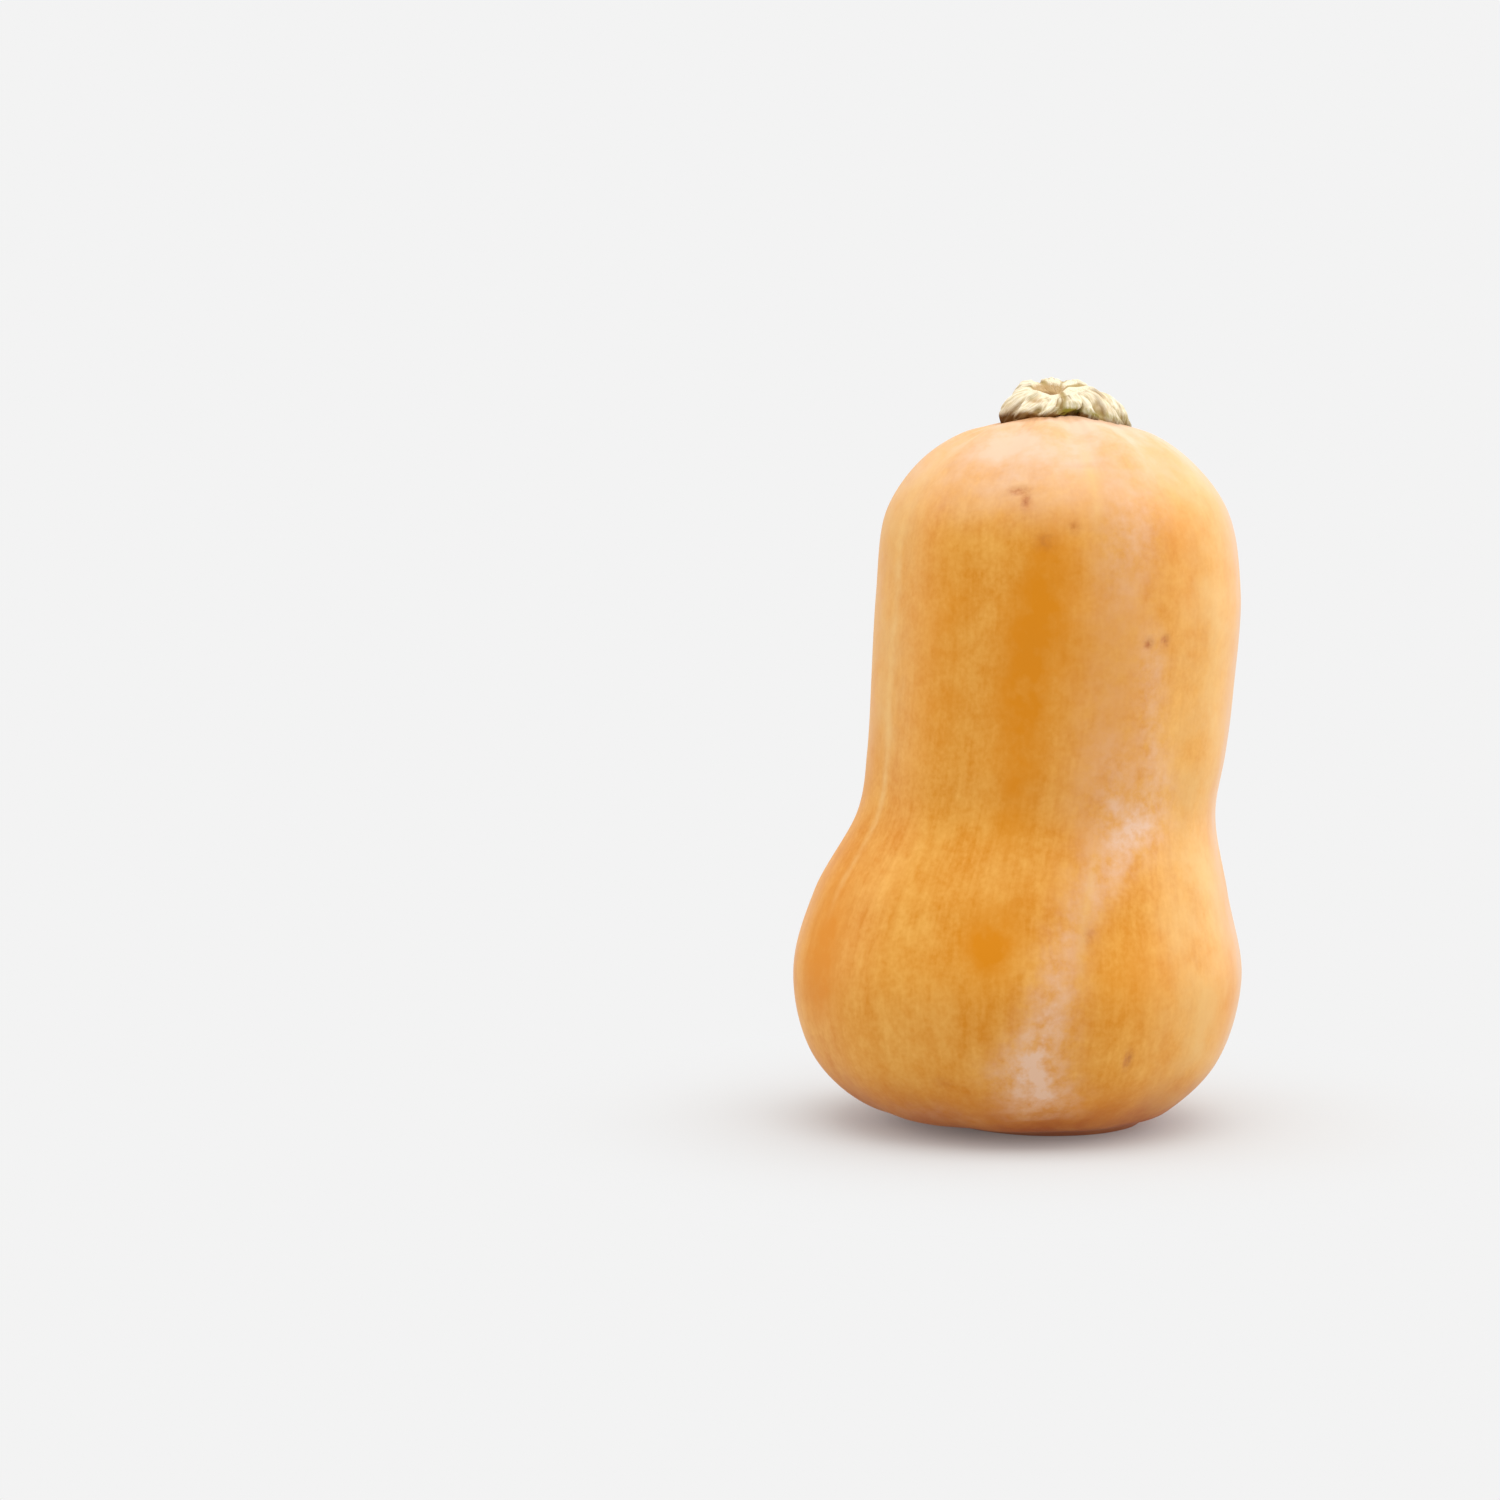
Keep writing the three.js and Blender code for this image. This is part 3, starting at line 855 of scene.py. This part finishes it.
bark, barkShader = newMaterial("driedCorkyStem")
barkLook = {
    "cream": "#f4ead2",
    "straw": "#dccba2",
    "hollow": "#b09866",
    "tints": [  # vertex tint, colour, strength
        ("tan", "#c9a87c", 1),
        # partly the cork's brown, partly painted shade towards the foot
        ("brownAndFootShade", "#8a6230", 1.2),
        ("olive", "#7a6a18", 1.2),
        # painted contact shade over the foot's own dark cork
        ("foot", "#5e380f", 1.15),
        ("fissure", "#8a6a41", 0.5),
        ("cut", "#bd9c6b", 0.9),
        ("pith", "#96754a", 0.9),
    ],
    "fibreScale": 30,  # fibres about 0.5 mm across and 2 mm long
    "fibreDepth": 0.09 * mm,
    "blotchScale": 260,
    "raised": (0.45, 0.95),  # between which a hollow turns into a crest
    "roughness": 0.86,
    "specular": 0.1,
}
barkHere = addNode(bark, "TexCoord").outputs["Object"]
barkValues = {
    name: attributeOf(bark, name)
    for name in ("ridge", "dish", "pith", "fissure", "crest", "foot", "olive", "brownAndFootShade", "tan")
}
barkValues["cut"] = mapped(bark, barkValues["dish"], (0.1, 0.5))
fibreAt = attributeOf(bark, "fibre", "Vector")
fibres = noiseOf(bark, fibreAt, barkLook["fibreScale"], detail=4, roughness=0.6)
blotches = noiseOf(bark, barkHere, barkLook["blotchScale"], detail=3)
raised = computed(bark, "MULTIPLY_ADD", barkValues["crest"], 0.5, barkValues["ridge"])
raised = computed(bark, "MULTIPLY_ADD", blotches, 0.5, raised)
isRaised = mapped(bark, raised, barkLook["raised"], interpolation="SMOOTHSTEP")
fibreTone = mapped(bark, fibres, (0.35, 0.6))
crestTone = laidOver(bark, colour(barkLook["straw"]), colour(barkLook["cream"]), fibreTone)
barkTone = laidOver(bark, colour(barkLook["hollow"]), crestTone, isRaised)
for name, hexCode, strength in barkLook["tints"]:
    worn = mapped(bark, fibres, (0.35, 0.65), (1.2 * strength, 0.8 * strength))
    cover = computed(bark, "MULTIPLY", barkValues[name], worn, clamp=True)
    barkTone = laidOver(bark, barkTone, colour(hexCode), cover)
setInputs(bark, barkShader, {
    "Base Color": barkTone,
    "Roughness": barkLook["roughness"],
    "Specular IOR Level": barkLook["specular"],
    "Normal": addNode(bark, "Bump", {}, {"Height": fibres, "Distance": barkLook["fibreDepth"]}).outputs[0],
})
stemPiece.data.materials.append(bark)
print("stem material:", len(bark.node_tree.nodes), "nodes")

# the studio: a pale floor, soft light from above and all round, and the camera

studio = {
    "backdrop": "#f3f3f3",
    "dome": {  # its strength in front and at the back, and what is added above, at the left and right
        "front": 0.52,
        "back": 1.0,
        "top": 0.45,
        "left": -0.45,
        "right": 0.32,
    },
    "floorSize": 40,
    "floorPaint": "#cccccc",
    "floorRoughness": 0.9,
    "floorSpecular": 0.1,
    "floorFade": (-0.01, 0.145),  # metres from the middle between which it turns into glowing backdrop
    "softBoxes": {
        "topBox": {"place": (0.0, -0.3, 1.2), "size": (1.2, 1.0), "power": 7.9},
        "rightBox": {"place": (1.0, 0.3, 0.35), "size": (0.9, 0.9), "power": 4.6},
        "leftBox": {"place": (-1.0, 0.15, 0.35), "size": (0.6, 0.9), "power": 2.9},
    },
    "aim": (0, 0, 0.09),  # the middle of the squash, which the boxes face
}


def paintDome():
    world = bpy.data.worlds.new("paleStudio")
    world.use_nodes = True
    bpy.context.scene.world = world
    direction = addNode(world, "TexCoord").outputs["Generated"]
    parts = addNode(world, "SeparateXYZ", {}, {0: direction})
    dome = studio["dome"]
    around = mapped(world, parts.outputs["Y"], (-1, 1), (dome["front"], dome["back"]))
    above = mapped(world, parts.outputs["Z"], (0, 1), (0, dome["top"]))
    sides = mapped(world, parts.outputs["X"], (-1, 1), (dome["left"], dome["right"]))
    light = computed(world, "ADD", computed(world, "ADD", around, above), sides)
    isSeen = addNode(world, "LightPath").outputs["Is Camera Ray"]
    strength = addNode(world, "Mix", {}, {"Factor": isSeen, 2: light, 3: 1.0}).outputs[0]
    background = world.node_tree.nodes["Background"]
    setInputs(world, background, {"Color": colour(studio["backdrop"]), "Strength": strength})


def layFloor():
    half = studio["floorSize"] / 2
    corners = [(-half, -half, 0), (half, -half, 0), (half, half, 0), (-half, half, 0)]
    mesh = bpy.data.meshes.new("floor")
    mesh.from_pydata(corners, [], [(0, 1, 2, 3)])
    floor = bpy.data.objects.new("floor", mesh)
    bpy.context.collection.objects.link(floor)
    paint, painted = newMaterial("matteFloorPaint")
    setInputs(paint, painted, {
        "Base Color": colour(studio["floorPaint"]),
        "Roughness": studio["floorRoughness"],
        "Specular IOR Level": studio["floorSpecular"],
    })
    floorHere = addNode(paint, "TexCoord").outputs["Object"]
    away = addNode(paint, "VectorMath", {"operation": "LENGTH"}, {0: floorHere}).outputs["Value"]
    fade = mapped(paint, away, studio["floorFade"], interpolation="SMOOTHSTEP")
    glow = addNode(paint, "Emission", {}, {"Color": colour(studio["backdrop"])}).outputs[0]
    mix = addNode(paint, "MixShader", {}, {0: fade, 1: painted.outputs[0], 2: glow}).outputs[0]
    setInputs(paint, paint.node_tree.nodes["Material Output"], {"Surface": mix})
    mesh.materials.append(paint)


def hangSoftBox(name, box):
    lamp = bpy.data.lights.new(name, "AREA")
    lamp.shape = "RECTANGLE"
    lamp.energy = box["power"]
    lamp.size, lamp.size_y = box["size"]
    softBox = bpy.data.objects.new(name, lamp)
    softBox.location = box["place"]
    towards = Vector(studio["aim"]) - softBox.location
    softBox.rotation_euler = towards.to_track_quat("-Z", "Y").to_euler()
    softBox.visible_camera = False
    bpy.context.collection.objects.link(softBox)


paintDome()
layFloor()
for name, box in studio["softBoxes"].items():
    hangSoftBox(name, box)

view = {
    "distance": 1000,
    "height": 187,
    "middleHeight": 90,  # of the squash, where the axis column was measured
    "pixel": 0.2578,  # millimetres at the squash that one pixel of the picture covers
    "horizonRow": 400,
    "axisColumn": 1050,  # the pixel column that the fruit's axis stands on
    "sensor": 36,
}
focalPixels = view["distance"] / view["pixel"]
pitch = math.atan((photoWidth / 2 - view["horizonRow"]) / focalPixels)
drop = view["height"] - view["middleHeight"]
depth = view["distance"] * math.cos(pitch) + drop * math.sin(pitch)
sideways = -(view["axisColumn"] - photoWidth / 2) / focalPixels * depth
axis = intoRow(np.zeros(3))
camera = bpy.data.cameras.new("camera")
camera.sensor_width = view["sensor"]
camera.lens = view["sensor"] * focalPixels / photoWidth
eye = bpy.data.objects.new("camera", camera)
eye.location = (axis[0] + sideways * mm, axis[1] - view["distance"] * mm, view["height"] * mm)
eye.rotation_euler = (math.pi / 2 - pitch, 0, 0)
bpy.context.collection.objects.link(eye)
bpy.context.scene.camera = eye
bpy.context.scene.view_settings.view_transform = "Standard"
print("camera lens", round(camera.lens, 1))
